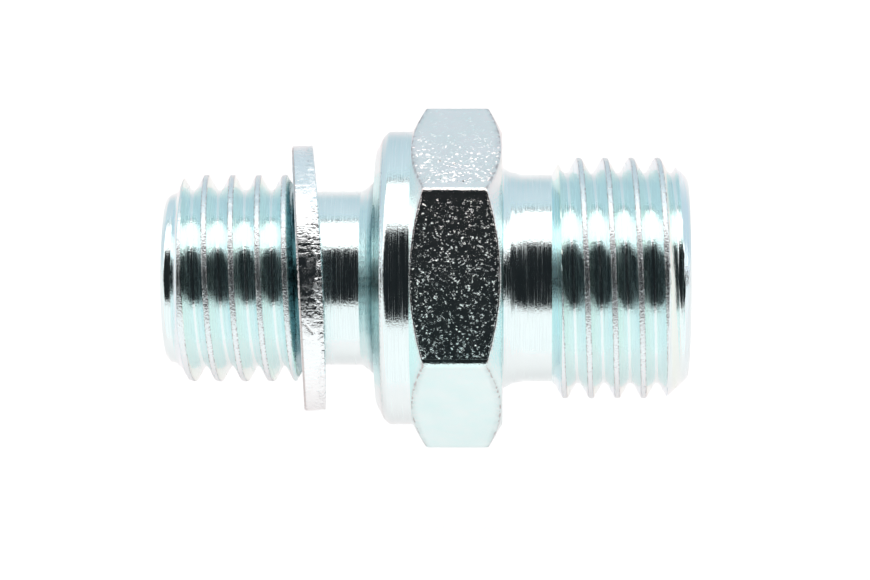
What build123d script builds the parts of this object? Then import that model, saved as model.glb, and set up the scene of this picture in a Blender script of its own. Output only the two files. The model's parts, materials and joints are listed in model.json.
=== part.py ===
from build123d import *

import math
import os

os.makedirs("parts", exist_ok=True)

# Frame of the part
# All sizes are in millimetres. X runs along the adapter's axis, from the stud to the tube end.
# X = 0 is the collar's sealing face, which the stud's port is sealed against. +Z is up: the
# adapter lies on one flat of its hexagon, with the opposite flat facing up.

# Hexagon and collar
hex_across_flats = 17.0
hex_length = 5.17
hex_edge_radius = 0.4
hex_face_diameter = 16.72
hex_chamfer_angle = 30.0
cutter_clearance = 1.0

collar_diameter = 16.84
collar_length = 2.03
collar_face_diameter = 14.6
collar_chamfer_length = 0.55

# Threads, both right-handed and of one pitch
thread_pitch = 1.5
thread_flank_angle = 30.0
thread_depth = 0.85
thread_crest_land = 0.26
groove_above_crest = 0.1
groove_overrun = 0.9

# Stud, left of the collar
stud_length = 12.05
stud_thread_diameter = 11.9
stud_thread_start = 4.65
stud_crest_at_top = 6.81
stud_neck_diameter = 10.0
stud_neck_fillet = 1.0
stud_pilot_diameter = 9.84
stud_pilot_length = 0.6
stud_nose_diameter = 9.72
stud_nose_chamfer = 0.25
stud_lead_angle = 66.0
undercut_wall_angle = 60.0

# Tube end, right of the hexagon
tube_end_length = 10.6
tube_thread_diameter = 13.82
tube_thread_start = 2.80
tube_crest_at_top = 5.85
tube_band_diameter = 11.88
tube_flare_diameter = 13.8
tube_neck_fillet = 1.05
tube_lead_length = 1.3
tube_lead_end_diameter = 11.84
tube_end_chamfer = 0.2

# Passage through the adapter
passage_diameter = 6.0
passage_chamfer = 0.4
tube_socket_diameter = 8.1
tube_socket_depth = 7.0
tube_cone_mouth_diameter = 10.0
tube_cone_angle = 24.0

# Captive washer
washer_outer_diameter = 15.3
washer_bore_diameter = 11.4
washer_thickness = 1.4
washer_edge_chamfer = 0.1
washer_seat_clearance = 0.2
washer_thread_gap = 0.055
washer_lean_sideways = 2.8
washer_lean_upright = 3.4

# Stations along the axis that follow from the sizes above
hex_left = collar_length
hex_right = hex_left + hex_length
tube_end = hex_right + tube_end_length
stud_end = -stud_length


def rad(degrees):
    return math.radians(degrees)


def turned(outline):
    """A solid turned about the X axis from a closed outline in the XY plane, above the axis."""
    return revolve(make_face(outline), Axis.X)


def stud_blank():
    """Collar, undercut neck and the stud's plain major diameter, before threading."""
    r_neck = stud_neck_diameter / 2
    r_major = stud_thread_diameter / 2
    r_pilot = stud_pilot_diameter / 2
    r_nose = stud_nose_diameter / 2
    nose_right = stud_end + stud_nose_chamfer
    wall_run = (r_major - r_neck) / math.tan(rad(undercut_wall_angle))
    lead_run = (r_major - r_pilot) / math.tan(rad(stud_lead_angle))
    pilot_right = stud_end + stud_pilot_length

    stud = Polyline(
        (stud_end, 0),
        (stud_end, r_nose - stud_nose_chamfer),
        (nose_right, r_nose),
        (pilot_right, r_pilot),
        (pilot_right + lead_run, r_major),
        (-stud_thread_start, r_major),
        (-stud_thread_start + wall_run, r_neck),
        (-stud_neck_fillet, r_neck),
    )
    fillet_middle = (-stud_neck_fillet, r_neck + stud_neck_fillet)
    neck_fillet = CenterArc(fillet_middle, stud_neck_fillet, 270, 90)

    r_face = collar_face_diameter / 2
    r_collar = collar_diameter / 2
    collar = Polyline(
        (0, r_neck + stud_neck_fillet),
        (0, r_face),
        (collar_chamfer_length, r_collar),
        (hex_left, r_collar),
        (hex_left, 0),
        (stud_end, 0),
    )
    return turned(Curve() + [stud, neck_fillet, collar])


def hexagon():
    """The spanner hexagon, chamfered at both faces by a turned cone."""
    across_corners = hex_across_flats / math.cos(rad(30))
    outline = RegularPolygon(across_corners / 2, 6)
    outline = fillet(outline.vertices(), hex_edge_radius)
    prism = extrude(Plane.YZ.offset(hex_left) * outline, hex_length)

    r_face = hex_face_diameter / 2
    r_clear = across_corners / 2 + cutter_clearance
    run = (r_clear - r_face) * math.tan(rad(hex_chamfer_angle))
    cone_outline = Polyline(
        (hex_left, 0),
        (hex_left, r_face),
        (hex_left + run, r_clear),
        (hex_right - run, r_clear),
        (hex_right, r_face),
        (hex_right, 0),
        close=True,
    )
    return prism & turned(cone_outline)


def tube_end_blank():
    """Flared neck, plain band and the tube end's plain major diameter, before threading."""
    r_flare = tube_flare_diameter / 2
    r_band = tube_band_diameter / 2
    r_major = tube_thread_diameter / 2
    r_lead = tube_lead_end_diameter / 2
    rise = r_flare - r_band
    flare_right = hex_right + math.sqrt(2 * tube_neck_fillet * rise - rise**2)
    thread_left = hex_right + tube_thread_start
    wall_run = (r_major - r_band) / math.tan(rad(undercut_wall_angle))
    lead_left = tube_end - tube_lead_length
    lead_right = tube_end - tube_end_chamfer

    flare = RadiusArc((hex_right, r_flare), (flare_right, r_band), -tube_neck_fillet)
    thread = Polyline(
        (flare_right, r_band),
        (thread_left, r_band),
        (thread_left + wall_run, r_major),
        (lead_left, r_major),
        (lead_right, r_lead),
        (tube_end, r_lead - tube_end_chamfer),
        (tube_end, 0),
        (hex_right, 0),
        (hex_right, r_flare),
    )
    return turned(Curve() + [flare, thread])


def threaded(blank, major_diameter, crest_at_top, groove_left, groove_right):
    """The blank with a right-hand helical groove cut into its major diameter.

    crest_at_top is a station where a crest crosses the +Y side. The groove runs from groove_left
    to groove_right, both in the open, so it runs out at each end. It is cut half a turn at a time.
    """
    r_major = major_diameter / 2
    slope = math.tan(rad(thread_flank_angle))
    half_at_crest = (thread_pitch - thread_crest_land) / 2
    half_at_root = half_at_crest - thread_depth * slope
    half_above = half_at_crest + groove_above_crest * slope
    profile = make_face(
        Polyline(
            (-thread_depth, half_at_root),
            (groove_above_crest, half_above),
            (groove_above_crest, -half_above),
            (-thread_depth, -half_at_root),
            close=True,
        )
    )
    profile_plane = Plane(origin=(r_major, 0, 0), x_dir=(1, 0, 0), z_dir=(0, 1, 0))
    half_turn = sweep(
        profile_plane * profile,
        path=Helix(thread_pitch, thread_pitch / 2, r_major),
        is_frenet=True,
    )

    turns_from_groove = (groove_left - crest_at_top) / thread_pitch - 0.5
    along_x = Plane(origin=(groove_left, 0, 0), x_dir=(0, 1, 0), z_dir=(1, 0, 0))
    for step in range(math.ceil(2 * (groove_right - groove_left) / thread_pitch)):
        advance = Pos(0, 0, step * thread_pitch / 2)
        turn = Rot(0, 0, 360 * turns_from_groove + 180 * step)
        blank = blank - along_x * advance * turn * half_turn
    return blank


def passage():
    """The through passage, with the tube socket and its cone mouth at the tube end."""
    r_passage = passage_diameter / 2
    r_socket = tube_socket_diameter / 2
    r_mouth = tube_cone_mouth_diameter / 2
    cone_depth = (r_mouth - r_socket) / math.tan(rad(tube_cone_angle / 2))
    outline = Polyline(
        (stud_end, 0),
        (stud_end, r_passage + passage_chamfer),
        (stud_end + passage_chamfer, r_passage),
        (tube_end - tube_socket_depth, r_passage),
        (tube_end - tube_socket_depth, r_socket),
        (tube_end - cone_depth, r_socket),
        (tube_end, r_mouth),
        (tube_end, 0),
        close=True,
    )
    return turned(outline)


def adapter_body():
    """The one-piece turned body: stud, neck, collar, hexagon and tube end."""
    stud = threaded(
        stud_blank(),
        stud_thread_diameter,
        -stud_crest_at_top,
        stud_end - groove_overrun,
        -stud_thread_start + groove_overrun,
    )
    tube_end_part = threaded(
        tube_end_blank(),
        tube_thread_diameter,
        hex_right + tube_crest_at_top,
        hex_right + tube_thread_start - groove_overrun,
        tube_end + groove_overrun,
    )
    return stud + hexagon() + tube_end_part - passage()


def captive_washer():
    """The sealing washer. It hangs on the neck and leans on the last turn of the stud thread."""
    r_bore = washer_bore_diameter / 2
    r_outer = washer_outer_diameter / 2
    ring = Cylinder(r_outer, washer_thickness) - Cylinder(r_bore, washer_thickness)
    ring = Rot(0, 90, 0) * chamfer(ring.edges().filter_by(GeomType.CIRCLE), washer_edge_chamfer)
    leaning = Rot(0, washer_lean_upright, washer_lean_sideways) * ring
    middle = -stud_thread_start + washer_thread_gap + washer_thickness / 2
    drop = r_bore - stud_neck_diameter / 2 - washer_seat_clearance
    return Pos(middle, 0, -drop) * leaning


body = adapter_body()
washer = captive_washer()
body.label = "adapter_body"
washer.label = "captive_washer"
export_step(body, "parts/adapter_body.step")
export_step(washer, "parts/captive_washer.step")
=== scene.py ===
# %% [markdown]
# # A hollow threaded adapter with a captive washer
#
# The real object is a small plumbing adapter of turned steel, zinc plated, about 30 mm long. It
# lies on one flat of its hexagon. On the left is a threaded stud with a narrow neck, and a loose
# sealing washer is trapped on that neck. On the right is a larger threaded end for a tube.
#
# The frame below brings in the solids at their real size. We rebuild both pieces as dense meshes
# with soft edges, worn threads and a torn washer rim, then give them their plated finish.

# %% Load the frame
import json
import math

import bpy
from mathutils import Matrix, Vector, noise


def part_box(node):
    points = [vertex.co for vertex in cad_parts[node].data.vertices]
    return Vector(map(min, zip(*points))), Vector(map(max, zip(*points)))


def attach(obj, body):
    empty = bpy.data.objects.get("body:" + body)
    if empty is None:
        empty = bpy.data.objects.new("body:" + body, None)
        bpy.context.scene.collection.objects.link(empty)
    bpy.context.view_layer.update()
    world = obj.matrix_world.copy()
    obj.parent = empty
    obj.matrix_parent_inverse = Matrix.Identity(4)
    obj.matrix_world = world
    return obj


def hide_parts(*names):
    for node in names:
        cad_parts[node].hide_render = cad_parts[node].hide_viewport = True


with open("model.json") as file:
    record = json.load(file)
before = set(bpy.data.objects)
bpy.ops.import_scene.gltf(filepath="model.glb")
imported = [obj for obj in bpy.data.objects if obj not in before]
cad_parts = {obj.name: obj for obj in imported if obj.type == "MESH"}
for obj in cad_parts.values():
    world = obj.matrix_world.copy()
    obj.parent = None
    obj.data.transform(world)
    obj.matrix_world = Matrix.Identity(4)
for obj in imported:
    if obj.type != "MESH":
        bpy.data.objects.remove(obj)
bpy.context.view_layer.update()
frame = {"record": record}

mm = 0.001
mounts = {m["name"]: m for m in frame["record"]["mounts"]}
body_low, body_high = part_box("adapter_body")
print("the adapter is", round((body_high[0] - body_low[0]) / mm, 2), "mm long")

# %% [markdown]
# ## Sizes
#
# Every station lies on the X axis, and X = 0 is the collar's flat sealing face. What the frame
# knows, such as the two ends, the thread radii and the bores, is read from it. The rest is named
# here once, in metres. A turned part is easiest to keep straight as a list of stations and radii.

# %% Sizes that the frame knows
stud_end = body_low[0]
tube_end = body_high[0]
stud_crest_r = mounts["stud_thread"]["dims"]["r_mm"] * mm
tube_crest_r = mounts["tube_end_thread"]["dims"]["r_mm"] * mm
socket_r = mounts["tube_socket"]["dims"]["r_mm"] * mm
passage_r = mounts["flow_passage"]["dims"]["r_mm"] * mm
print("crests are", round(stud_crest_r / mm, 2), "and", round(tube_crest_r / mm, 2), "mm from the axis")

# %% Sizes of the stud
pitch = 1.5 * mm
neck_r = 5.0 * mm
neck_fillet = 1.0 * mm
nose_r = 4.86 * mm
nose_round = 0.25 * mm
pilot_r = 4.92 * mm
pilot_length = 0.6 * mm
lead_slope = math.tan(math.radians(66))
undercut_left = -4.65 * mm
undercut_slope = math.tan(math.radians(60))
stud_crest_at_top = -6.81 * mm

lead_left = stud_end + pilot_length
lead_right = lead_left + (stud_crest_r - pilot_r) / lead_slope
undercut_right = undercut_left + (stud_crest_r - neck_r) / undercut_slope
print("the stud's thread is", round((undercut_left - lead_right) / mm, 2), "mm long")

# %% Sizes of the collar and the hexagon
collar_r = 8.42 * mm
collar_face_r = 7.3 * mm
hex_left = 2.03 * mm
hex_right = 7.20 * mm
hex_half_flats = 8.5 * mm
hex_face_r = 8.36 * mm
hex_chamfer_slope = math.tan(math.radians(30))
hex_corner_round = 0.4 * mm
print("the hexagon is", round(2 * hex_half_flats / mm, 1), "mm across its flats")

# %% Sizes of the tube end
flare_r = 6.9 * mm
band_r = 5.94 * mm
tube_thread_left = 10.0 * mm
tube_crest_at_top = hex_right + 5.85 * mm
tube_lead_left = tube_end - 1.3 * mm
tube_lead_right = tube_end - 0.2 * mm
tube_lead_r = 5.92 * mm
mouth_r = 5.0 * mm
socket_depth = 7.0 * mm
cone_slope = math.tan(math.radians(12))
print("the tube end's thread is", round((tube_lead_left - tube_thread_left) / mm, 2), "mm long")

# %% [markdown]
# ## A lathe made of columns
#
# A turned part could be a screw modifier on a curve, but a screw thread and a hexagon would then
# have to be cut in. Here one grid does it all: columns run round the axis, and rows run along the
# part. A turned row is a plain ring. A thread row is a ring that climbs by one pitch each turn, so
# the mesh follows the crest exactly. Extra columns stand at the six corners of the hexagon, where
# the edge is rounded over. The washer has more columns, because its rim is torn.

# %% Half the angle of a rounded corner
corner_distance = (hex_half_flats - hex_corner_round) / math.cos(math.radians(30))
corner_half_angle = math.atan2(
    hex_corner_round * 0.5,
    corner_distance + hex_corner_round * math.cos(math.radians(30)),
)
print("a corner spans", round(math.degrees(2 * corner_half_angle), 1), "degrees")

# %% Columns round the axis
plain_columns = 192
washer_column_count = 720
corner_shares = (-1.6, -1.0, -0.5, 0.5, 1.0, 1.6)


def column_angles():
    """Angles from the +Y side towards +Z, crowded round each corner of the hexagon."""
    angles = {round(2 * math.pi * i / plain_columns, 6) for i in range(plain_columns)}
    for corner in range(6):
        for share in corner_shares:
            angle = corner * math.pi / 3 + share * corner_half_angle
            angles.add(round(angle % (2 * math.pi), 6))
    return sorted(angles)


columns = column_angles()
washer_columns = [2 * math.pi * i / washer_column_count for i in range(washer_column_count)]
print(len(columns), "columns on the body and", len(washer_columns), "on the washer")

# %% [markdown]
# ## Turned outlines
#
# No edge of a turned part is sharp: the tool has a round tip, and plating rounds it further. A bevel
# modifier would need clean edge loops, and threads have none. So we soften the outline itself, as
# a list of points, before it is turned. Where the tool was coarse, the outline zigzags a little.

# %% Soften the corners of an outline
def softened(points, radii, steps=4):
    """The outline through points, with each inner corner rounded by its radius."""
    longest_reach = 0.45
    out = [points[0]]
    for before, here, after, radius in zip(points, points[1:], points[2:], radii):
        a = Vector(before) - Vector(here)
        b = Vector(after) - Vector(here)
        half = a.angle(b) / 2
        reach = min(radius / math.tan(half), longest_reach * a.length, longest_reach * b.length)
        start = Vector(here) + a.normalized() * reach
        end = Vector(here) + b.normalized() * reach
        for i in range(steps + 1):
            t = i / steps
            p = start * (1 - t) ** 2 + Vector(here) * 2 * t * (1 - t) + end * t ** 2
            out.append((p.x, p.y))
    out.append(points[-1])
    return out


print("a square corner becomes", len(softened([(0, 0), (1, 0), (1, 1)], (0.1,))) - 2, "points")

# %% Add points to an outline
def filled(points, spacing):
    """The same outline with points added where two of them are further apart than spacing."""
    out = [points[0]]
    for (x0, r0), (x1, r1) in zip(points, points[1:]):
        count = max(1, math.ceil(math.hypot(x1 - x0, r1 - r0) / spacing))
        for i in range(1, count + 1):
            out.append((x0 + (x1 - x0) * i / count, r0 + (r1 - r0) * i / count))
    return out


def tool_marked(a, b, spacing, depth):
    """Points from a to b that zigzag by a depth, as a coarse tool leaves them."""
    count = math.ceil(abs(b[0] - a[0]) / spacing)
    out = [a]
    for i in range(1, count):
        t = i / count
        cut = depth if i % 2 else 0.0
        out.append((a[0] + (b[0] - a[0]) * t, a[1] + (b[1] - a[1]) * t - cut))
    return out + [b]


print("a line of 1 with a spacing of 0.25 has", len(filled([(0, 0), (1, 0)], 0.25)), "points")

# %% Turn an outline into rings
def turned_rows(points, edges=(), shade=lambda x, r: 0.0):
    """One plain ring for each point of an outline. Rings near a station in edges count as an edge."""
    edge_half_width = 0.05 * mm
    rows = []
    for x, r in points:
        edge = 0.5 if any(abs(x - station) < edge_half_width for station in edges) else 0.0
        rows.append([(x, r, 0.0, edge, 0.0, shade(x, r)) for _ in columns])
    return rows


print("each point holds a station, a radius and four marks: crest, edge, tint and shade")

# %% [markdown]
# ## Threads
#
# A metric thread has flanks of 30 degrees, a narrow crest and a rounded root. The root matters for
# the looks: light that falls into the groove bounces off both flanks and comes back blue-green, and
# only the very bottom of the root answers the light directly, as a thin bright line. At both ends
# the crest runs out into a chamfer or the undercut, so a thread row takes the smaller of the
# thread's own radius and the radius of the turned blank.

# %% Thread form
crest_land = 0.27 * mm
root_round = 0.2 * mm
crest_round = 0.04 * mm
flank = math.tan(math.radians(30))
groove_half = (pitch - crest_land) / 2
root_edge = root_round * math.cos(math.radians(30))


def thread_phases():
    """Positions of the rows inside one pitch, counted from the middle of the groove."""
    side = [0.3 * root_edge, 0.6 * root_edge, root_edge]
    side += [root_edge + (groove_half - root_edge) * t for t in (0.3, 0.6)]
    side += [groove_half + step * crest_round for step in (-2, -1, 0, 1, 2)]
    return [-s for s in reversed(side)] + [0.0] + side + [pitch / 2]


print(len(thread_phases()), "rows in each pitch")

# %% Radius of the thread
def thread_radius(phase, crest_r):
    """Distance from the axis of the thread at a phase from the middle of the groove."""
    apex = crest_r - groove_half / flank
    p = abs(phase)
    if p <= root_edge:
        return apex + 2 * root_round - math.sqrt(root_round ** 2 - p ** 2)
    if p < groove_half - crest_round:
        return apex + p / flank
    if p < groove_half + 2 * crest_round:
        t = (p - groove_half + crest_round) / (3 * crest_round)
        low = apex + (groove_half - crest_round) / flank
        return low + (crest_r - low) * (1 - (1 - t) ** 2.2)
    return crest_r


def along(points, x):
    """Radius of an outline at station x."""
    for (x0, r0), (x1, r1) in zip(points, points[1:]):
        if x0 <= x <= x1 and x1 > x0:
            return r0 + (r1 - r0) * (x - x0) / (x1 - x0)
    return points[0][1] if x < points[0][0] else points[-1][1]


print("the groove is", round((stud_crest_r - thread_radius(0.0, stud_crest_r)) / mm, 2), "mm deep")

# %% Wear on the thread, and painted shade by the undercut
dent_depth = 0.045 * mm
dents_per_mm = 2.1
thread_r_mm = 6
burr_width = 0.05 * mm
lead_wear_middle = lead_right + 0.2 * mm
lead_wear_half = 0.24 * mm
last_crest_at_top = undercut_left - 0.66 * mm
shade_starts = 0.16 * mm
shade_run = 0.08 * mm


def dent(x, angle):
    """How far a knock has pushed the crest in."""
    around = Vector((x / mm, thread_r_mm * math.cos(angle), thread_r_mm * math.sin(angle)))
    return max(0.0, noise.noise(around * dents_per_mm) - 0.15) * dent_depth


def undercut_shade(x, angle, crest_r):
    """Painted shade on the last flank of the stud, which faces the undercut."""
    if crest_r != stud_crest_r:
        return 0.0
    last_crest = last_crest_at_top + pitch * angle / (2 * math.pi)
    past = (x - last_crest - shade_starts) / shade_run
    return min(max(past, 0.0), 1.0)


print("dents are up to", round(dent_depth / mm, 3), "mm deep")

# %% One point of the thread
def thread_point(x, angle, blank, crest_r, crest_at_top):
    """A point of the threaded surface with its four marks."""
    groove = crest_at_top + pitch / 2 + pitch * angle / (2 * math.pi)
    phase = (x - groove + pitch / 2) % pitch - pitch / 2
    r_blank = along(blank, x)
    r_thread = thread_radius(phase, crest_r)
    edge = max(0.0, 1 - abs(abs(phase) - groove_half) / burr_width)
    crest = 1.0 if abs(phase) > groove_half - 0.5 * crest_round else 0.0
    tint = phase / groove_half if abs(phase) < groove_half else 0.0
    r = min(r_blank, r_thread - dent(x, angle) * max(edge, crest))
    if r_thread > r_blank + 0.01 * mm:
        edge = 0.0
        crest = 0.8 if abs(x - lead_wear_middle) < lead_wear_half else 0.0
    return (x, r, crest, edge, tint, undercut_shade(x, angle, crest_r))


print("tint runs from -1 on the left flank to 1 on the right flank")

# %% Rows that climb
def thread_rows(blank, crest_r, crest_at_top):
    """Helical rows between the first and last station of the turned blank."""
    left, right = blank[0][0], blank[-1][0]
    groove_at_top = crest_at_top + pitch / 2
    first = math.floor((left - pitch - groove_at_top) / pitch)
    last = math.ceil((right - groove_at_top) / pitch)
    rows = []
    for turn in range(first, last + 1):
        for phase in thread_phases():
            start = groove_at_top + turn * pitch + phase
            row = []
            for angle in columns:
                x = min(max(start + pitch * angle / (2 * math.pi), left), right)
                row.append(thread_point(x, angle, blank, crest_r, crest_at_top))
            rows.append(row)
    return rows


print("a row climbs", round(pitch / mm, 1), "mm in one turn")

# %% Rings where the blank has an edge
def ring_rows(blank, crest_r, crest_at_top, left, right, spacing):
    """Plain rings across a part of the thread where the blank itself has an edge."""
    count = math.ceil((right - left) / spacing)
    stations = [left + (right - left) * i / count for i in range(count + 1)]
    return [[thread_point(x, a, blank, crest_r, crest_at_top) for a in columns] for x in stations]


def part_of(blank, left, right):
    """The piece of an outline between two stations."""
    inner = [(x, r) for x, r in blank if left < x < right]
    return [(left, along(blank, left))] + inner + [(right, along(blank, right))]


print("rings take over where the thread meets a chamfer or the undercut")

# %% [markdown]
# ## The hexagon
#
# The bar is a hexagon with slightly rounded corners, and the lathe has chamfered both its faces at
# 30 degrees. That leaves the curved line on every flat. It could be cut with a boolean, but then the
# curved edge is hard to soften. The rows here bend with that line: the first ones lie on the left
# cone, the middle ones on the flats and the last ones on the right cone.

# %% Distance to the hexagon
def hex_radius(angle):
    """Distance from the axis to the rounded hexagon in one direction."""
    off_corner = (angle + math.pi / 6) % (math.pi / 3) - math.pi / 6
    if abs(off_corner) < corner_half_angle:
        side = corner_distance * math.sin(off_corner)
        return corner_distance * math.cos(off_corner) + math.sqrt(hex_corner_round ** 2 - side ** 2)
    return hex_half_flats / math.cos(math.pi / 6 - abs(off_corner))


print("a corner is", round(hex_radius(0.0) / mm, 2), "mm from the axis")

# %% One column of the hexagon
cone_steps = 4
edge_steps = 4
flat_steps = 16
chamfer_round = 0.16 * mm


def spread(a, b, count):
    """Points between a and b, without b."""
    return [(a[0] + (b[0] - a[0]) * i / count, a[1] + (b[1] - a[1]) * i / count) for i in range(count)]


def hexagon_column(angle):
    """Points over both chamfers and the flat in one direction, each with how much it is an edge."""
    r = hex_radius(angle)
    inset = (r - hex_face_r) * hex_chamfer_slope
    outline = softened([
        (hex_left + (collar_r - hex_face_r) * hex_chamfer_slope, collar_r),
        (hex_left + inset, r),
        (hex_right - inset, r),
        (hex_right, hex_face_r),
    ], (chamfer_round, chamfer_round), steps=edge_steps)
    start, left_edge, right_edge, end = outline[0], outline[1:6], outline[6:11], outline[11]
    edge_marks = (0.5, 1.0, 1.0, 1.0)
    path = [(p, 0.0) for p in spread(start, left_edge[0], cone_steps)]
    path += list(zip(left_edge[:-1], edge_marks))
    flat = spread(left_edge[-1], right_edge[0], flat_steps)
    path += [(p, 0.5 if i == 0 else 0.0) for i, p in enumerate(flat)]
    path += list(zip(right_edge[:-1], edge_marks))
    cone = spread(right_edge[-1], end, cone_steps)
    path += [(p, 0.5 if i == 0 else 0.0) for i, p in enumerate(cone)]
    return path + [(end, 0.0)]


print(len(hexagon_column(0.0)), "rows on the hexagon")

# %% Hexagon rows
unevenness = 0.012 * mm
waves_per_mm = 0.55


def hexagon_rows():
    """Rows from the collar's edge, over both chamfers, to the hexagon's right face."""
    paths = [hexagon_column(angle) for angle in columns]
    row_count = len(paths[0])
    first_flat = cone_steps + edge_steps
    rows = []
    for k in range(row_count):
        row = []
        for path, angle in zip(paths, columns):
            (x, r), edge = path[k]
            around = Vector((x / mm, r * math.cos(angle) / mm, r * math.sin(angle) / mm))
            wave = 0.0
            if cone_steps <= k < row_count - cone_steps:
                wave = (noise.noise(around * waves_per_mm) - 1.0) * unevenness
            off_corner = abs((angle + math.pi / 6) % (math.pi / 3) - math.pi / 6)
            past_corner = off_corner > corner_shares[-1] * corner_half_angle
            on_flat = 1.0 if past_corner and first_flat <= k < row_count - first_flat else 0.0
            row.append((x, r + wave, 0.0, edge, on_flat, 0.0))
        rows.append(row)
    return rows


print("the flats wave by up to", round(2 * unevenness / mm, 3), "mm, always inwards")

# %% [markdown]
# ## Joining the rows
#
# The rows go once round the whole section: along the outside from left to right, then back through
# the cone, the socket and the passage. The grid then closes on itself, so the body is watertight.
# Points that fall together, where a thread row is held at its end, are merged as they are made. The
# four marks go on the mesh as attributes, so a material knows where a crest or an edge is.

# %% Mesh builder
steps_per_metre = 1e7
mark_names = ("crest", "edge", "tint", "shade")


def mesh_from_rows(name, angles, segments, materials):
    """A closed mesh from row segments of (rows, rows to skip at the seam, material index)."""
    verts, faces, face_material, marks = [], [], [], []
    index_of = {}

    def vertex(x, r, crest, edge, tint, shade, angle):
        place = (x, r * math.cos(angle), r * math.sin(angle))
        key = tuple(round(c * steps_per_metre) for c in place)
        if key not in index_of:
            index_of[key] = len(verts)
            verts.append(place)
            marks.append((crest, edge, tint, shade))
        return index_of[key]

    def add_face(corners, material):
        ring = [c for i, c in enumerate(corners) if c != corners[i - 1]]
        if len(set(ring)) == len(ring) and len(ring) > 2:
            faces.append(ring)
            face_material.append(material)

    for rows, seam, material in segments:
        ids = [[vertex(*point, angle) for point, angle in zip(row, angles)] for row in rows]
        last = len(rows) - 1
        for k in range(last):
            for j in range(len(angles) - 1):
                add_face((ids[k][j], ids[k][j + 1], ids[k + 1][j + 1], ids[k + 1][j]), material)
            low, high = ids[min(k + seam, last)][0], ids[min(k + 1 + seam, last)][0]
            add_face((ids[k][-1], low, high, ids[k + 1][-1]), material)

    mesh = bpy.data.meshes.new(name)
    mesh.from_pydata(verts, [], faces)
    for m in materials:
        mesh.materials.append(m)
    mesh.polygons.foreach_set("material_index", face_material)
    for i, mark in enumerate(mark_names):
        values = [m[i] for m in marks]
        mesh.attributes.new(mark, "FLOAT", "POINT").data.foreach_set("value", values)
    mesh.update()
    piece = bpy.data.objects.new(name, mesh)
    bpy.context.collection.objects.link(piece)
    return piece


print("marks on each point:", ", ".join(mark_names))

# %% Soft shading
sharp_degrees = 40


def shade_softly(piece):
    """Smooth shading, except across edges that turn by more than the sharp angle."""
    bpy.context.view_layer.objects.active = piece
    piece.select_set(True)
    bpy.ops.object.shade_smooth_by_angle(angle=math.radians(sharp_degrees))
    piece.select_set(False)


print("edges sharper than", sharp_degrees, "degrees stay sharp")

# %% [markdown]
# ## Helpers for the materials
#
# The finishes are node materials, made only from noise and from the marks on the mesh, so they hold
# in every view and no picture is needed. A node tree is long when it is written out node by node.
# These helpers each add one small step and give back its output, so a finish reads like a recipe.

# %% A metal material
def new_material(name):
    """An empty node material with a metal shader."""
    material = bpy.data.materials.new(name)
    material.use_nodes = True
    nodes = material.node_tree.nodes
    shader = nodes["Principled BSDF"]
    shader.inputs["Metallic"].default_value = 1.0
    return material, nodes, material.node_tree.links, shader


def marked(nodes, name):
    """The value of a mark that was stored on the mesh's points."""
    node = nodes.new("ShaderNodeAttribute")
    node.attribute_name = name
    return node.outputs["Fac"]


print("a mark is read back by its name")

# %% Steps with values
def maths(nodes, links, operation, a, b=None):
    """One arithmetic step on two values or sockets."""
    node = nodes.new("ShaderNodeMath")
    node.operation = operation
    for socket, value in zip(node.inputs, (a, b)):
        if value is None:
            continue
        if isinstance(value, (int, float)):
            socket.default_value = value
        else:
            links.new(value, socket)
    return node.outputs[0]


def between(nodes, links, value, low, high, to_low=0.0, to_high=1.0):
    """A value that is moved from one range to another and kept inside it."""
    node = nodes.new("ShaderNodeMapRange")
    for index, number in enumerate((low, high, to_low, to_high)):
        node.inputs[index + 1].default_value = number
    links.new(value, node.inputs[0])
    return node.outputs[0]


print("two helpers for values")

# %% Steps with colours
def mixed(nodes, links, share, first, second):
    """Two colours or colour sockets, mixed by a share."""
    node = nodes.new("ShaderNodeMix")
    node.data_type = "RGBA"
    for index, value in ((0, share), (6, first), (7, second)):
        if isinstance(value, tuple):
            node.inputs[index].default_value = (*value, 1.0)
        elif isinstance(value, (int, float)):
            node.inputs[index].default_value = value
        else:
            links.new(value, node.inputs[index])
    return node.outputs[2]


def ramp(nodes, links, value, stops):
    """A colour ramp from (position, colour) stops."""
    node = nodes.new("ShaderNodeValToRGB")
    elements = node.color_ramp.elements
    while len(elements) < len(stops):
        elements.new(0.5)
    for element, (position, colour) in zip(elements, stops):
        element.position = position
        element.color = (*colour, 1.0)
    links.new(value, node.inputs[0])
    return node.outputs[0]


def grey(level):
    return (level, level, level)


print("two helpers for colours")

# %% Coordinates
def millimetres(nodes, links):
    """Plain object coordinates in millimetres."""
    place = nodes.new("ShaderNodeTexCoord").outputs["Object"]
    scale = nodes.new("ShaderNodeMapping")
    scale.inputs["Scale"].default_value = (1 / mm, 1 / mm, 1 / mm)
    links.new(place, scale.inputs["Vector"])
    return scale.outputs[0]


def lathe_coordinates(nodes, links, per_mm, round_axis):
    """Coordinates that are squeezed round the axis, so noise becomes tool lines."""
    split = nodes.new("ShaderNodeSeparateXYZ")
    links.new(nodes.new("ShaderNodeTexCoord").outputs["Object"], split.inputs[0])
    x, y, z = split.outputs
    y_squared = maths(nodes, links, "MULTIPLY", y, y)
    z_squared = maths(nodes, links, "MULTIPLY", z, z)
    r = maths(nodes, links, "SQRT", maths(nodes, links, "ADD", y_squared, z_squared))
    join = nodes.new("ShaderNodeCombineXYZ")
    links.new(maths(nodes, links, "MULTIPLY", x, per_mm / mm), join.inputs[0])
    for index, side in ((1, y), (2, z)):
        unit = maths(nodes, links, "DIVIDE", side, r)
        links.new(maths(nodes, links, "MULTIPLY", unit, round_axis), join.inputs[index])
    return join.outputs[0]


print("two sets of coordinates: plain, and wound round the axis")

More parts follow.
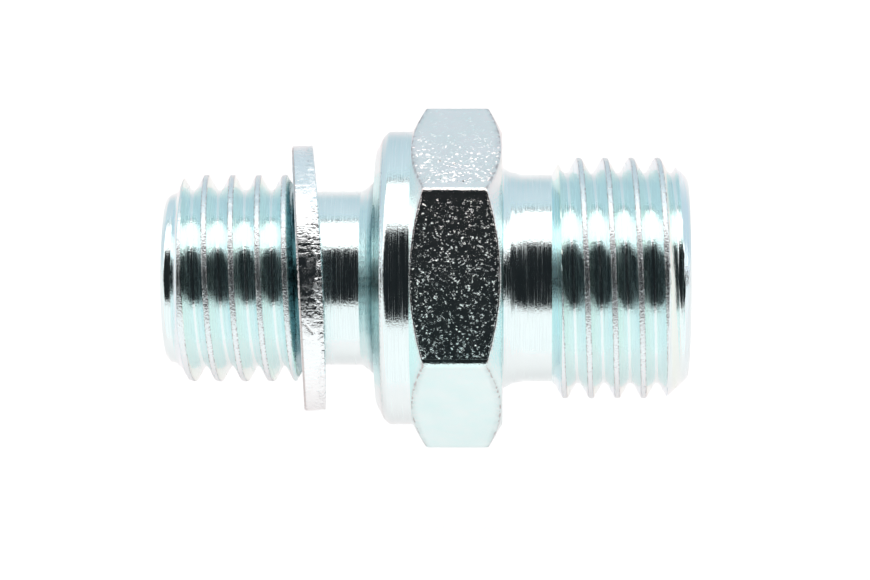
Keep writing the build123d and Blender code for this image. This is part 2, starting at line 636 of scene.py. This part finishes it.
# %% Noise and relief
def grain(nodes, links, coordinates, scale, detail, roughness):
    """A noise value from 0 to 1."""
    node = nodes.new("ShaderNodeTexNoise")
    node.inputs["Scale"].default_value = scale
    node.inputs["Detail"].default_value = detail
    node.inputs["Roughness"].default_value = roughness
    links.new(coordinates, node.inputs["Vector"])
    return node.outputs[0]


def bumped(nodes, links, height, depth, normal=None):
    """A bump of a height from 0 to 1 and a depth in metres."""
    node = nodes.new("ShaderNodeBump")
    node.inputs["Strength"].default_value = 1.0
    node.inputs["Distance"].default_value = depth
    links.new(height, node.inputs["Height"])
    if normal is not None:
        links.new(normal, node.inputs["Normal"])
    return node.outputs[0]


def vector_step(nodes, links, operation, first, second):
    """One step on two vectors or vector sockets."""
    node = nodes.new("ShaderNodeVectorMath")
    node.operation = operation
    for socket, value in zip(node.inputs, (first, second)):
        if isinstance(value, tuple):
            socket.default_value = value
        elif value is not None:
            links.new(value, socket)
    return node


print("noise gives the grain and bump gives the relief")

# %% [markdown]
# ## The turned finish
#
# Bright zinc plating is a metal with a faint blue cast. One bounce hardly shows it, but in the thread
# grooves the light bounces three times and the cast builds up by itself to blue-green. So the colour
# stays pale, and the detail goes into gloss and bump: fine lines from the lathe tool that run round
# the part, and the soft grain of the plating. The crests are duller, because they touch things.

# %% Colours of the plating
zinc = (0.80, 0.965, 0.96)
zinc_cloud = (0.775, 0.945, 0.945)
green_flank = (0.82, 0.975, 0.90)
blue_flank = (0.75, 0.935, 0.985)
worn_crest = (0.77, 0.90, 0.91)
# Dull worn edges, darkened further as a painted reflection of the dark room; nicks on crests also use
# it.
dull_edge_and_painted_dark_reflection = (0.40, 0.38, 0.38)
# Painted shade for the corner by the neck and for the stud's last flank.
painted_recess_shade = (0.20, 0.36, 0.40)
print("plain plating keeps", round(100 * zinc[0]), "percent of the red light at each bounce")

# %% Colour of the turned faces
def turned_colour(nodes, links, long_lines, speckle, clouds):
    """The plating's colour, with nicked crests, dull burrs with a painted dark reflection, and painted
    shade in the recesses.
    """
    crest = marked(nodes, "crest")
    flank_mark = marked(nodes, "tint")
    spotted_edge = between(nodes, links, speckle, 0.42, 0.6)
    spotted_crest = between(nodes, links, speckle, 0.62, 0.72, 0.0, 0.6)
    burrs_with_painted_dark_reflection = maths(nodes, links, "MULTIPLY", marked(nodes, "edge"), spotted_edge)
    nicks = maths(nodes, links, "MULTIPLY", crest, spotted_crest)
    tint = mixed(nodes, links, between(nodes, links, clouds, 0.3, 0.7), zinc, zinc_cloud)
    tint = mixed(nodes, links, between(nodes, links, flank_mark, 0.0, 1.0), tint, blue_flank)
    tint = mixed(nodes, links, between(nodes, links, flank_mark, 0.0, -1.0), tint, green_flank)
    lined = vector_step(nodes, links, "SCALE", tint, None)
    links.new(between(nodes, links, long_lines, 0.35, 0.65, 0.93, 1.03), lined.inputs["Scale"])
    tint = mixed(nodes, links, crest, lined.outputs[0], worn_crest)
    # Burred crest edges take the dark colour: real dull wear plus a painted dark reflection.
    tint = mixed(nodes, links, maths(nodes, links, "MAXIMUM", burrs_with_painted_dark_reflection, nicks), tint, dull_edge_and_painted_dark_reflection)
    # The shade mark paints shade into the colour in those two recesses.
    recess_painted_shade = maths(nodes, links, "MULTIPLY", marked(nodes, "shade"), 0.9)
    return mixed(nodes, links, recess_painted_shade, tint, painted_recess_shade)


print("the colour uses all four marks")

# %% Relief of the turned faces
long_line_depth = 0.005 * mm
short_line_depth = 0.008 * mm
speckle_depth = 0.006 * mm
crest_wear_depth = 0.03 * mm


def turned_relief(nodes, links, long_lines, short_lines, speckle):
    """Tool lines and speckle, with a rougher surface on crests and edges."""
    normal = bumped(nodes, links, long_lines, long_line_depth)
    normal = bumped(nodes, links, short_lines, short_line_depth, normal)
    normal = bumped(nodes, links, speckle, speckle_depth, normal)
    worn = maths(nodes, links, "MAXIMUM", marked(nodes, "crest"), marked(nodes, "edge"))
    rough = maths(nodes, links, "MULTIPLY", speckle, worn)
    return bumped(nodes, links, rough, crest_wear_depth, normal)


print("tool lines are", round(long_line_depth / mm, 3), "mm deep")

# %% Turned zinc
def turned_zinc():
    """Plated steel with tool lines round the axis, duller on the thread crests."""
    material, nodes, links, shader = new_material("turned zinc")
    plain = millimetres(nodes, links)
    long_lines = grain(nodes, links, lathe_coordinates(nodes, links, 17.0, 1.3), 1.0, 3.0, 0.7)
    short_lines = grain(nodes, links, lathe_coordinates(nodes, links, 14.0, 22.0), 1.0, 2.0, 0.6)
    speckle = grain(nodes, links, plain, 9.0, 2.0, 0.6)
    clouds = grain(nodes, links, plain, 0.5, 2.0, 0.5)
    links.new(turned_colour(nodes, links, long_lines, speckle, clouds), shader.inputs["Base Color"])
    scored = between(nodes, links, long_lines, 0.48, 0.70, 0.10, 0.34)
    dull_crest = maths(nodes, links, "MULTIPLY", marked(nodes, "crest"), 0.26)
    links.new(maths(nodes, links, "MAXIMUM", scored, dull_crest), shader.inputs["Roughness"])
    links.new(turned_relief(nodes, links, long_lines, short_lines, speckle), shader.inputs["Normal"])
    return material


turned = turned_zinc()
print(len(turned.node_tree.nodes), "nodes in", turned.name)

# %% [markdown]
# ## The grain of the hexagon's flats
#
# The flats are still the skin of the drawn bar, and plating shows its crystals. Each one leans its
# own way, so a flat that faces the dark shows bright flecks where a crystal finds the light. Bump
# from noise would give soft hills. Cells with one random lean each give crisp flecks, so the flats
# have those, and the chamfers, which were cut by the tool, have none.

# %% Flakes that lean their own way
flake_size = 0.125
flake_wobble = 0.35


def flaked(nodes, links, coordinates, tilt):
    """Normals that lean a different way in each small flake, and further in some of them."""
    wobble = nodes.new("ShaderNodeTexNoise")
    wobble.inputs["Scale"].default_value = 4.0
    links.new(coordinates, wobble.inputs["Vector"])
    bent = vector_step(nodes, links, "MULTIPLY_ADD", wobble.outputs["Color"], (flake_wobble,) * 3)
    links.new(coordinates, bent.inputs[2])
    cells = nodes.new("ShaderNodeTexVoronoi")
    cells.inputs["Scale"].default_value = 1 / flake_size
    links.new(bent.outputs[0], cells.inputs["Vector"])
    lean = vector_step(nodes, links, "SUBTRACT", cells.outputs["Color"], grey(0.5))
    scaled = vector_step(nodes, links, "SCALE", lean.outputs[0], None)
    channels = nodes.new("ShaderNodeSeparateColor")
    links.new(cells.outputs["Color"], channels.inputs[0])
    uneven = between(nodes, links, channels.outputs["Blue"], 0.25, 0.85, 0.25, 1.5)
    links.new(maths(nodes, links, "MULTIPLY", uneven, tilt), scaled.inputs["Scale"])
    normal = nodes.new("ShaderNodeNewGeometry").outputs["Normal"]
    added = vector_step(nodes, links, "ADD", scaled.outputs[0], normal)
    return vector_step(nodes, links, "NORMALIZE", added.outputs[0], None).outputs[0]


print("a flake is about", flake_size, "mm wide")

# %% Where the grain is deep
def grain_depth(nodes, links, y, z):
    """Shallow on the near flat, deep on the top and far ones, none on chamfers and corners."""
    top = between(nodes, links, z, 2.0, 8.3, 0.25, 1.0)
    near_flat = between(nodes, links, y, -5.2, -4.6, 0.3, 1.0)
    far_flat = between(nodes, links, y, 4.8, 5.2, 0.0, 0.8)
    side = maths(nodes, links, "ADD", near_flat, far_flat)
    flat = maths(nodes, links, "MULTIPLY", marked(nodes, "tint"), side)
    return maths(nodes, links, "MULTIPLY", top, flat)


print("on the hexagon the tint mark says what is a flat")

# %% Grained zinc
# The flats' zinc colour is set per side, near and far: painted light and shade.
near_flat_painted_light_tints = ((0.69, 0.95, 0.94), (0.75, 0.98, 0.97))
far_flat_painted_light_tints = ((0.88, 0.97, 0.93), (0.96, 0.99, 0.97))
flake_tilt = 0.58
pit_depth = 0.035 * mm
fine_depth = 0.022 * mm


def grained_zinc():
    """Plated bar steel, still with the coarse grain of the drawn bar on its flats."""
    material, nodes, links, shader = new_material("grained zinc")
    plain = millimetres(nodes, links)
    split = nodes.new("ShaderNodeSeparateXYZ")
    links.new(plain, split.inputs[0])
    y, z = split.outputs[1], split.outputs[2]
    pits = grain(nodes, links, plain, 3.0, 2.0, 0.55)
    fine = grain(nodes, links, plain, 9.0, 2.0, 0.5)
    clouds = grain(nodes, links, plain, 0.6, 3.0, 0.6)

    near_painted_light_tint = ramp(nodes, links, clouds, list(zip((0.3, 0.7), near_flat_painted_light_tints)))
    far_painted_light_tint = ramp(nodes, links, clouds, list(zip((0.3, 0.7), far_flat_painted_light_tints)))
    # Across the top flat the near side's colour blends into the far side's: painted light and shade.
    tint = mixed(nodes, links, between(nodes, links, y, -4.6, 4.6), near_painted_light_tint, far_painted_light_tint)
    # The hexagon's chamfer edges take the same darkened edge colour.
    broken = between(nodes, links, pits, 0.4, 0.6, 0.2, 0.75)
    edge = maths(nodes, links, "MULTIPLY", marked(nodes, "edge"), broken)
    links.new(mixed(nodes, links, edge, tint, dull_edge_and_painted_dark_reflection), shader.inputs["Base Color"])
    links.new(between(nodes, links, fine, 0.4, 0.6, 0.10, 0.22), shader.inputs["Roughness"])

    depth = grain_depth(nodes, links, y, z)
    normal = flaked(nodes, links, plain, maths(nodes, links, "MULTIPLY", depth, flake_tilt))
    normal = bumped(nodes, links, maths(nodes, links, "MULTIPLY", pits, depth), pit_depth, normal)
    normal = bumped(nodes, links, fine, fine_depth, normal)
    links.new(normal, shader.inputs["Normal"])
    return material


grained = grained_zinc()
print(len(grained.node_tree.nodes), "nodes in", grained.name)

# %% [markdown]
# ## The stamped finish
#
# The washer is punched from plated sheet. The punch scores its rim along the axis, and the last of
# the sheet tears off roughly. The scores are noise that is squeezed the other way from the lathe
# lines: long along the axis and narrow round it. The torn part gets deeper, plain noise on top.
# The washer has no thread, so its crest mark says where it is torn.

# %% Stamped zinc
sheet_zinc = (0.87, 0.98, 0.98)
sheet_edge = (0.42, 0.40, 0.38)
score_depth = 0.035 * mm
tear_roughness = 0.14 * mm


def stamped_zinc():
    """Plated sheet steel, scored along the axis on its rim and rough where it tore."""
    material, nodes, links, shader = new_material("stamped zinc")
    plain = millimetres(nodes, links)
    scores = grain(nodes, links, lathe_coordinates(nodes, links, 1.0, 30.0), 1.0, 2.0, 0.6)
    pits = grain(nodes, links, plain, 3.0, 3.0, 0.6)
    edge = maths(nodes, links, "MULTIPLY", marked(nodes, "edge"), 0.7)
    links.new(mixed(nodes, links, edge, sheet_zinc, sheet_edge), shader.inputs["Base Color"])
    links.new(between(nodes, links, pits, 0.4, 0.65, 0.12, 0.34), shader.inputs["Roughness"])
    normal = bumped(nodes, links, scores, score_depth)
    torn = between(nodes, links, marked(nodes, "crest"), 0.0, 1.0, 0.3, 1.0)
    uneven = maths(nodes, links, "MULTIPLY", pits, torn)
    links.new(bumped(nodes, links, uneven, tear_roughness, normal), shader.inputs["Normal"])
    return material


stamped = stamped_zinc()
print(len(stamped.node_tree.nodes), "nodes in", stamped.name)

# %% [markdown]
# ## The body's outline
#
# The body is one turned bar, so its whole shape is one outline of stations and radii. It is written
# in the order of the real features, from the stud's nose to the tube end and back through the
# passage. Each stretch is its own list, because threads, hexagon and plain faces get other rows.

# %% Outline of the stud
stud_start = softened([
    (stud_end, passage_r + 0.4 * mm),
    (stud_end, nose_r - nose_round),
    (stud_end + nose_round, nose_r),
    (lead_left, pilot_r),
], (0.15 * mm, 0.2 * mm))
stud_blank = softened([
    (lead_left, pilot_r),
    (lead_right - 0.085 * mm, stud_crest_r - 0.19 * mm),
    (lead_right + 0.45 * mm, stud_crest_r),
    (undercut_left, stud_crest_r),
    (undercut_right, neck_r),
], (0.04 * mm, 0.3 * mm, 0.08 * mm))
stud_rings_left = lead_right + 0.12 * mm
stud_rings_right = undercut_left - 0.08 * mm
print(len(stud_start) + len(stud_blank), "points on the stud")

# %% Outline of the neck and the collar
neck_mark_spacing = 0.045 * mm
neck_mark_depth = 0.014 * mm
slope_foot = (-0.88 * mm, neck_r)
slope_top = (-0.42 * mm, neck_r + 0.32 * mm)

neck = [(undercut_right, neck_r), (-0.90 * mm, neck_r)]
neck += tool_marked(slope_foot, slope_top, neck_mark_spacing, neck_mark_depth)
neck += softened([
    neck[-1],
    (-0.08 * mm, neck_r + 0.6 * mm),
    (0.0, neck_r + neck_fillet),
], (0.6 * mm,), steps=6)[1:]
collar = softened([
    neck[-1],
    (0.0, collar_face_r),
    (0.42 * mm, 8.12 * mm),
    (0.74 * mm, collar_r),
    (hex_left + (collar_r - hex_face_r) * hex_chamfer_slope, collar_r),
], (0.05 * mm, 0.3 * mm, 0.3 * mm))
print(len(neck) + len(collar), "points on the neck and the collar")

# %% Outline of the flare
flare_mark_spacing = 0.05 * mm
flare_mark_depth = 0.014 * mm
band_starts = hex_right + 1.2 * mm

flare = softened([
    (hex_right, hex_face_r),
    (hex_right, flare_r),
    (hex_right + 0.05 * mm, band_r + 0.42 * mm),
    (hex_right + 0.5 * mm, band_r + 0.16 * mm),
    (hex_right + 0.84 * mm, band_r + 0.09 * mm),
], (0.1 * mm, 0.2 * mm, 0.3 * mm))
flare += tool_marked(flare[-1], (band_starts, band_r), flare_mark_spacing, flare_mark_depth)[1:]
flare.append((tube_thread_left, band_r))
print(len(flare), "points on the flare")

# %% Outline of the tube end
tube_crest_left = tube_thread_left + (tube_crest_r - band_r) / undercut_slope
tube_blank = softened([
    (tube_thread_left, band_r),
    (tube_crest_left, tube_crest_r),
    (tube_lead_left, tube_crest_r),
    (tube_lead_right, tube_lead_r),
], (0.08 * mm, 0.12 * mm))
tube_rings_left = tube_crest_left + 0.1 * mm
tube_rings_right = tube_lead_left - 0.1 * mm
print(len(tube_blank), "points on the tube end")

# %% Outline of the passage
cone_left = tube_end - (mouth_r - socket_r) / cone_slope
inside = softened([
    (tube_lead_right, tube_lead_r),
    (tube_end, tube_lead_r - 0.2 * mm),
    (tube_end, mouth_r),
    (cone_left, socket_r),
    (tube_end - socket_depth, socket_r),
    (tube_end - socket_depth, passage_r),
    (stud_end + 0.4 * mm, passage_r),
    (stud_end, passage_r + 0.4 * mm),
], (0.25 * mm, 0.06 * mm, 0.1 * mm, 0.1 * mm, 0.05 * mm, 0.05 * mm))
print("the cone is", round((tube_end - cone_left) / mm, 2), "mm deep")

# %% [markdown]
# ## The body
#
# The body could be joined from separate pieces, but gaps would show at every seam. Here the rows of
# all stretches follow each other in one mesh. Thread rows close one pitch further on, because each
# of them has climbed by one pitch after a full turn.

# %% Painted shade in the corner of the neck
recess_left = -0.42 * mm
recess_right = 0.02 * mm
recess_r = 7.2 * mm
recess_run = 0.3 * mm
recess_strength = 0.75


def recess_shade(x, r):
    """Painted shade in the corner between the neck and the collar's face."""
    if r >= recess_r or x >= recess_right:
        return 0.0
    return recess_strength * min(max((x - recess_left) / recess_run, 0.0), 1.0)


# The corner is darkened by painted shade, at most by this share.
print("the corner is at most", round(100 * recess_strength), "percent dull")

# %% Build the body
thread_row_count = len(thread_phases())
stud_thread = (stud_blank, stud_crest_r, stud_crest_at_top)
tube_thread = (tube_blank, tube_crest_r, tube_crest_at_top)
stud_middle = (part_of(stud_blank, stud_rings_left, stud_rings_right), *stud_thread[1:])
tube_middle = (part_of(tube_blank, tube_rings_left, tube_rings_right), *tube_thread[1:])
neck_rows = turned_rows(filled(neck, 0.5 * mm), shade=recess_shade)
collar_rows = turned_rows(filled(collar, 0.25 * mm), edges=(0.42 * mm,), shade=recess_shade)
body = mesh_from_rows(
    "adapter_surface",
    columns,
    [
        (turned_rows(filled(stud_start, 0.4 * mm)), 0, 0),
        (ring_rows(*stud_thread, lead_left, stud_rings_left, 0.04 * mm), 0, 0),
        (thread_rows(*stud_middle), thread_row_count, 0),
        (ring_rows(*stud_thread, stud_rings_right, undercut_right, 0.05 * mm), 0, 0),
        (neck_rows, 0, 0),
        (collar_rows, 0, 0),
        (hexagon_rows(), 0, 1),
        (turned_rows(filled(flare, 0.5 * mm)), 0, 0),
        (ring_rows(*tube_thread, tube_thread_left, tube_rings_left, 0.05 * mm), 0, 0),
        (thread_rows(*tube_middle), thread_row_count, 0),
        (ring_rows(*tube_thread, tube_rings_right, tube_lead_right, 0.05 * mm), 0, 0),
        (turned_rows(filled(inside, 2.0 * mm), edges=(tube_lead_right,)), 0, 0),
    ],
    [turned, grained],
)
print(len(body.data.polygons), "faces in the body")

# %% Tie the body to the frame
shade_softly(body)
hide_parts("adapter_body")
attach(body, "adapter")
print(body.name, "stands for the solid adapter_body")

# %% [markdown]
# ## The captive washer
#
# The washer is stamped from sheet. Its rim has a smooth band where the punch cut, and a torn band on
# the right where the last of the sheet broke away. A displace modifier would also move the flat
# faces, so the wear is worked into the rim's own points. The washer leans on the last turn of the
# thread: the ring is made flat on the axis first, then tilted and set in the middle of its solid.

# %% Sizes of the washer
washer_low, washer_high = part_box("captive_washer")
washer_middle = (Vector(washer_low) + Vector(washer_high)) / 2
washer_half = 0.7 * mm
washer_r = 7.65 * mm
washer_bore_r = 5.7 * mm
lean = Matrix.Rotation(math.radians(3.4), 4, "Y") @ Matrix.Rotation(math.radians(2.8), 4, "Z")

ring = [
    (-washer_half, washer_bore_r + 0.1 * mm),
    (-washer_half, washer_r - 0.1 * mm),
    (-washer_half + 0.1 * mm, washer_r),
    (washer_half - 0.06 * mm, washer_r),
    (washer_half, washer_r - 0.06 * mm),
    (washer_half, washer_bore_r + 0.1 * mm),
    (washer_half - 0.1 * mm, washer_bore_r),
    (-washer_half + 0.1 * mm, washer_bore_r),
    (-washer_half, washer_bore_r + 0.1 * mm),
]
print("the washer is", round(2 * washer_half / mm, 1), "mm thick")

# %% The torn part of the rim
tear_starts = 0.18 * mm
tear_wander = 0.2 * mm
tear_run = 0.12 * mm


def torn_share(x, around):
    """How far a point of the rim lies in the torn band, from 0 to 1."""
    wander = tear_wander * noise.noise(around * 0.8)
    return min(max((x - tear_starts + wander) / tear_run, 0.0), 1.0)


def pushed_in(x, angle, around, torn):
    """How deep the rim is worn: the tear, its ragged edge and the punch's scores."""
    hollow = 0.015 + 0.07 * max(0.0, noise.noise(around * 1.7) + 0.25)
    ragged = 0.018 * noise.noise(around * 4.0)
    scored = 0.006 + 0.006 * noise.noise(Vector((x / mm * 1.2, 40 * angle, 3.0)))
    return (torn * (hollow + ragged) + scored) * mm


print("the tear begins", round(tear_starts / mm, 2), "mm right of the washer's middle")

# %% A scratch on the rim
scratch_angle = math.radians(112.0)
scratch_middle = -0.2 * mm
scratch_half_length = 0.22 * mm
scratch_slant = 180
scratch_half_width_mm = 0.09
scratch_depth = 0.05 * mm
rim_r_mm = 7.6


def scratch_share(x, angle):
    """How far a point lies in the slanting scratch, from 0 to 1."""
    if abs(x - scratch_middle) >= scratch_half_length:
        return 0.0
    off_line = (angle - scratch_angle) - (x - scratch_middle) * scratch_slant
    return max(0.0, 1 - abs(off_line) * rim_r_mm / scratch_half_width_mm)


print("the scratch is", round(scratch_depth / mm, 2), "mm deep")

# %% Washer rows
washer_spacing = 0.06 * mm
washer_thinning = 0.17 * mm


def washer_point(x, r, angle):
    """A point of the washer's section with its wear and its four marks."""
    thinned = washer_thinning * math.cos(angle) ** 2 * max(x, 0.0) / washer_half
    if r <= washer_r - 0.08 * mm:
        return (x - thinned, r, 0.0, 0.0, 0.0, 0.0)
    around = Vector((x / mm, rim_r_mm * math.cos(angle), rim_r_mm * math.sin(angle)))
    torn = torn_share(x, around)
    scratched = scratch_share(x, angle)
    edge = 1.0 if abs(x + washer_half - 0.05 * mm) < 0.06 * mm else 0.0
    worn_r = r - pushed_in(x, angle, around, torn) - scratch_depth * scratched
    return (x - thinned, worn_r, torn, max(edge, scratched), 0.0, 0.0)


washer_rows = [[washer_point(x, r, a) for a in washer_columns] for x, r in filled(ring, washer_spacing)]
print(len(washer_rows), "rows in the washer")

# %% Build the washer
washer = mesh_from_rows("washer_surface", washer_columns, [(washer_rows, 0, 0)], [stamped])
washer.data.transform(Matrix.Translation(washer_middle) @ lean)
shade_softly(washer)
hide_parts("captive_washer")
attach(washer, "washer")
print(len(washer.data.polygons), "faces in the washer")

# %% [markdown]
# ## Floor
#
# The adapter lies on a white table, and bright metal shows that table in its lower side. A plain
# white floor would make the lower side flat white, so the floor looks darker in mirrors than it
# does to the eye. In mirrors the far side, which is +Y, is darker and cooler still: a painted
# shade. It still takes the adapter's shadow.

# %% Lay the floor
floor_z = body_low[2]
floor_size = 1.2
floor_mesh = bpy.data.meshes.new("floor")
floor_mesh.from_pydata(
    [(x, y, floor_z) for x, y in (
        (-floor_size, -floor_size), (floor_size, -floor_size),
        (floor_size, floor_size), (-floor_size, floor_size),
    )],
    [], [(0, 1, 2, 3)],
)
floor = bpy.data.objects.new("floor", floor_mesh)
bpy.context.collection.objects.link(floor)
print("the floor is", round(-floor_z / mm, 1), "mm below the axis")

# %% White table
near_glow = (0.655, 0.55, 0.547)
# Darker, cooler glow on the far side: painted shade on the table as the metal mirrors it.
far_glow_painted_shade = (0.225, 0.31, 0.375)
seen_glow = (0.7, 0.7, 0.7)
far_side_starts = 0.009
far_side_ends = 0.018

floor_material = bpy.data.materials.new("white table")
floor_material.use_nodes = True
nodes, links = floor_material.node_tree.nodes, floor_material.node_tree.links
table = nodes["Principled BSDF"]
table.inputs["Base Color"].default_value = (0.8, 0.82, 0.83, 1.0)
table.inputs["Roughness"].default_value = 0.8
path = nodes.new("ShaderNodeLightPath").outputs
mirrored = maths(nodes, links, "MAXIMUM", path["Is Glossy Ray"], path["Is Transmission Ray"])
place = nodes.new("ShaderNodeSeparateXYZ")
links.new(nodes.new("ShaderNodeTexCoord").outputs["Object"], place.inputs[0])
far_side = between(nodes, links, place.outputs[1], far_side_starts, far_side_ends)
glow_colour = mixed(nodes, links, far_side, near_glow, far_glow_painted_shade)
glow_colour = mixed(nodes, links, path["Is Camera Ray"], glow_colour, seen_glow)
glow = nodes.new("ShaderNodeEmission")
links.new(glow_colour, glow.inputs["Color"])
links.new(maths(nodes, links, "MAXIMUM", mirrored, path["Is Camera Ray"]), glow.inputs["Strength"])
both = nodes.new("ShaderNodeAddShader")
links.new(table.outputs[0], both.inputs[0])
links.new(glow.outputs[0], both.inputs[1])
links.new(both.outputs[0], nodes["Material Output"].inputs["Surface"])
floor_mesh.materials.append(floor_material)
print("the floor's material is", floor_material.name)

# %% [markdown]
# ## Room light
#
# A polished bar shows the room as stripes along its length. Area lamps could make them, but each
# would need its own place and power, so the stripes are made in the world. They are counted round
# the adapter's axis: a dark gap straight above, then a soft box towards the far side with a thin
# dark frame behind it, and a pale room that is warmer on the near side and cooler on the far one.

# %% Directions round the axis
world = bpy.data.worlds.new("pale room")
bpy.context.scene.world = world
world.use_nodes = True
nodes, links = world.node_tree.nodes, world.node_tree.links
direction = nodes.new("ShaderNodeSeparateXYZ")
links.new(nodes.new("ShaderNodeTexCoord").outputs["Generated"], direction.inputs[0])
turn = maths(nodes, links, "ARCTAN2", direction.outputs["Y"], direction.outputs["Z"])
share = maths(nodes, links, "MULTIPLY_ADD", turn, 1 / (2 * math.pi))
share.node.inputs[2].default_value = 0.5


def at(degrees):
    """Position on the ramp of a direction that leans from straight up towards +Y."""
    return 0.5 + degrees / 360


print("straight up is at", at(0), "on the ramp")

# %% Stripes of the room
near_room = (1.13, 1.05, 1.06)
far_room = (0.675, 0.77, 0.83)
soft_box = (1.8, 1.6, 1.6)
gap = (0.013, 0.015, 0.017)
gap_starts, gap_ends = -33, 38
box_starts, box_ends = 41, 79
open_room = ramp(nodes, links, share, [
    (at(-100), near_room),
    (at(box_starts - 5), near_room),
    (at(box_starts), soft_box),
    (at(box_ends), soft_box),
    (at(box_ends + 1), gap),
    (at(box_ends + 3), gap),
    (at(box_ends + 4), far_room),
    (at(178), far_room),
])
dark_gap = ramp(nodes, links, share, [
    (at(gap_starts - 3), grey(0.0)),
    (at(gap_starts), grey(1.0)),
    (at(gap_ends), grey(1.0)),
    (at(gap_ends + 3), grey(0.0)),
])
room = mixed(nodes, links, dark_gap, open_room, gap)
print("the dark gap is", gap_ends - gap_starts, "degrees wide")

# %% White background
camera_ray = nodes.new("ShaderNodeLightPath").outputs["Is Camera Ray"]
background = nodes["Background"]
links.new(mixed(nodes, links, camera_ray, room, grey(1.0)), background.inputs["Color"])
background.inputs["Strength"].default_value = 1.0
print("the background has a strength of", background.inputs["Strength"].default_value)

# %% [markdown]
# ## Camera
#
# The camera looks almost straight down from 200 mm, a little to the right of the adapter's middle.
# A long lens keeps both ends of the part from bending away, as in a catalogue picture.

# %% Camera
camera_height = 200 * mm
view_width = 50 * mm
sensor_width = 36
camera_data = bpy.data.cameras.new("camera")
camera_data.sensor_width = sensor_width
camera_data.lens = sensor_width * camera_height / view_width
camera_data.clip_start = 0.01
camera = bpy.data.objects.new("camera", camera_data)
bpy.context.collection.objects.link(camera)
camera.location = (8.4 * mm, -1.3 * mm, camera_height)
aim = Vector((3.32 * mm, -0.69 * mm, 0.0))
back = -(aim - camera.location).normalized()
right = Vector((0, 1, 0)).cross(back).normalized()
up = back.cross(right)
camera.rotation_euler = Matrix((right, up, back)).transposed().to_euler()
bpy.context.scene.camera = camera
bpy.context.scene.view_settings.view_transform = "Standard"
print("camera lens", round(camera_data.lens), "mm")
